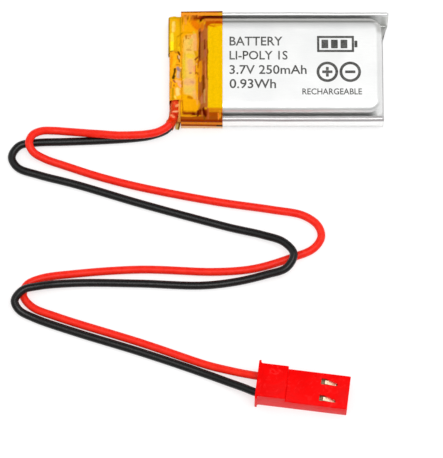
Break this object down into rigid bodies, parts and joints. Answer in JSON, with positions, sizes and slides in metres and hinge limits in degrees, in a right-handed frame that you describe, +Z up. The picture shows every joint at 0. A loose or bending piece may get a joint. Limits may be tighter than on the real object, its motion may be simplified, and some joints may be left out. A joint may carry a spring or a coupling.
{
  "type": "lithium polymer battery pack",
  "caption": "Flat pouch battery cell with a taped protection board, and a red and a black lead that end in a small red plug",
  "frame": {"origin": "Middle of the pack's underside, halfway along and across the pack without its leads, on the surface that it lies on", "axes": "+X along the cell, away from the end with the board and leads; +Y across the cell, away from the plug; +Z up through the cell's thickness"},
  "size_m": [0.0567, 0.061, 0.0061],
  "materials": {
    "pouch_cup": "satin aluminium laminate, slightly rippled",
    "pouch_cover": "satin aluminium laminate",
    "cathode_winding": "black coated foil",
    "anode_winding": "graphite coated foil",
    "separator_inner": "white porous film",
    "separator_outer": "white porous film",
    "roll_end_tape": "green film tape",
    "positive_tab": "bare strip",
    "negative_tab": "nickel strip",
    "positive_tab_film": "sealing film",
    "negative_tab_film": "sealing film",
    "pcm_board": "green solder mask",
    "protection_ic": "moulded epoxy",
    "switch_transistor": "moulded epoxy",
    "filter_resistor": "chip",
    "sense_resistor": "chip",
    "filter_capacitor": "chip",
    "cell_pad_positive": "nickel pad",
    "cell_pad_negative": "nickel pad",
    "output_pad_positive": "gold flash",
    "output_pad_negative": "gold flash",
    "solder_joint_positive": "solder",
    "solder_joint_negative": "solder",
    "insulation_paper": "pale barley paper",
    "main_tape": "see-through amber film",
    "board_edge_tape": "see-through amber film",
    "wire_joint_tape": "see-through amber film",
    "lead_tape": "clear film",
    "red_lead": "satin soft vinyl",
    "black_lead": "satin soft vinyl",
    "red_conductor_board_end": "tinned copper",
    "black_conductor_board_end": "tinned copper",
    "red_conductor_plug_end": "tinned copper",
    "black_conductor_plug_end": "tinned copper",
    "plug_housing": "semi-gloss moulded",
    "contact_positive": "tin-plated phosphor bronze",
    "contact_negative": "tin-plated phosphor bronze"
  },
  "bodies": {
    "root": {"pouch_cup": "pouch_cup", "pouch_cover": "pouch_cover", "cathode_winding": "cathode_winding", "anode_winding": "anode_winding", "separator_inner": "separator_inner", "separator_outer": "separator_outer", "roll_end_tape": "roll_end_tape", "positive_tab": "positive_tab", "negative_tab": "negative_tab", "positive_tab_film": "positive_tab_film", "negative_tab_film": "negative_tab_film", "pcm_board": "pcm_board", "protection_ic": "protection_ic", "switch_transistor": "switch_transistor", "filter_resistor": "filter_resistor", "sense_resistor": "sense_resistor", "filter_capacitor": "filter_capacitor", "cell_pad_positive": "cell_pad_positive", "cell_pad_negative": "cell_pad_negative", "output_pad_positive": "output_pad_positive", "output_pad_negative": "output_pad_negative", "solder_joint_positive": "solder_joint_positive", "solder_joint_negative": "solder_joint_negative", "insulation_paper": "insulation_paper", "main_tape": "main_tape", "board_edge_tape": "board_edge_tape", "wire_joint_tape": "wire_joint_tape", "lead_tape": "lead_tape", "red_lead": "red_lead", "black_lead": "black_lead", "red_conductor_board_end": "red_conductor_board_end", "black_conductor_board_end": "black_conductor_board_end", "red_conductor_plug_end": "red_conductor_plug_end", "black_conductor_plug_end": "black_conductor_plug_end", "plug_housing": "plug_housing", "contact_positive": "contact_positive", "contact_negative": "contact_negative"}
  },
  "joints": []
}
